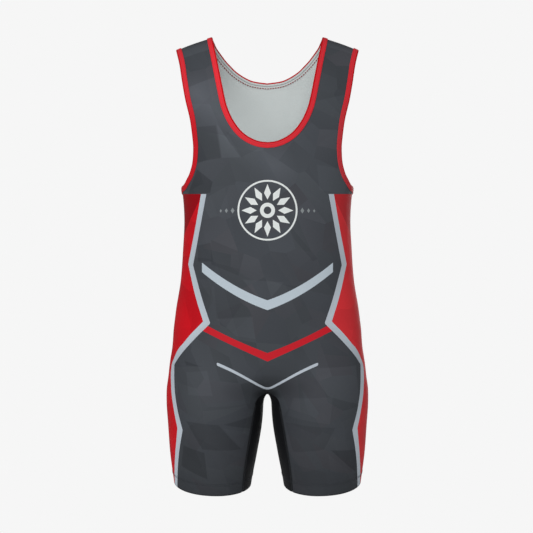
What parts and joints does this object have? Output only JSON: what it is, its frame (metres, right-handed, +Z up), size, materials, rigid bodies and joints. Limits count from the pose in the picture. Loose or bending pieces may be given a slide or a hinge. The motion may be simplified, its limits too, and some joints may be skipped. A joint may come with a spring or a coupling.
{
  "type": "wrestling singlet",
  "caption": "One-piece stretch wrestling suit with wide shoulder straps, scooped neck, deep armholes and short legs, hollow and kept in its worn shape.",
  "frame": {"origin": "midway between the two shoulder straps, at the height where their undersides rest on the shoulders", "axes": "+Z up, the front of the garment faces -Y, the wearer's left is +X"},
  "size_m": [0.38, 0.2361, 0.8445],
  "materials": {
    "printed_knit_front": "smooth stretch knit with a printed pattern, soft sheen",
    "printed_knit_back": "smooth stretch knit with a printed pattern, soft sheen",
    "black_knit": "smooth stretch knit, plain black",
    "red_binding": "folded stretch strip, plain red"
  },
  "bodies": {
    "root": {"front_panel": "printed_knit_front", "back_panel": "printed_knit_back", "inner_thigh_left": "black_knit", "inner_thigh_right": "black_knit", "neck_binding": "red_binding", "armhole_binding_left": "red_binding", "armhole_binding_right": "red_binding"}
  },
  "joints": []
}
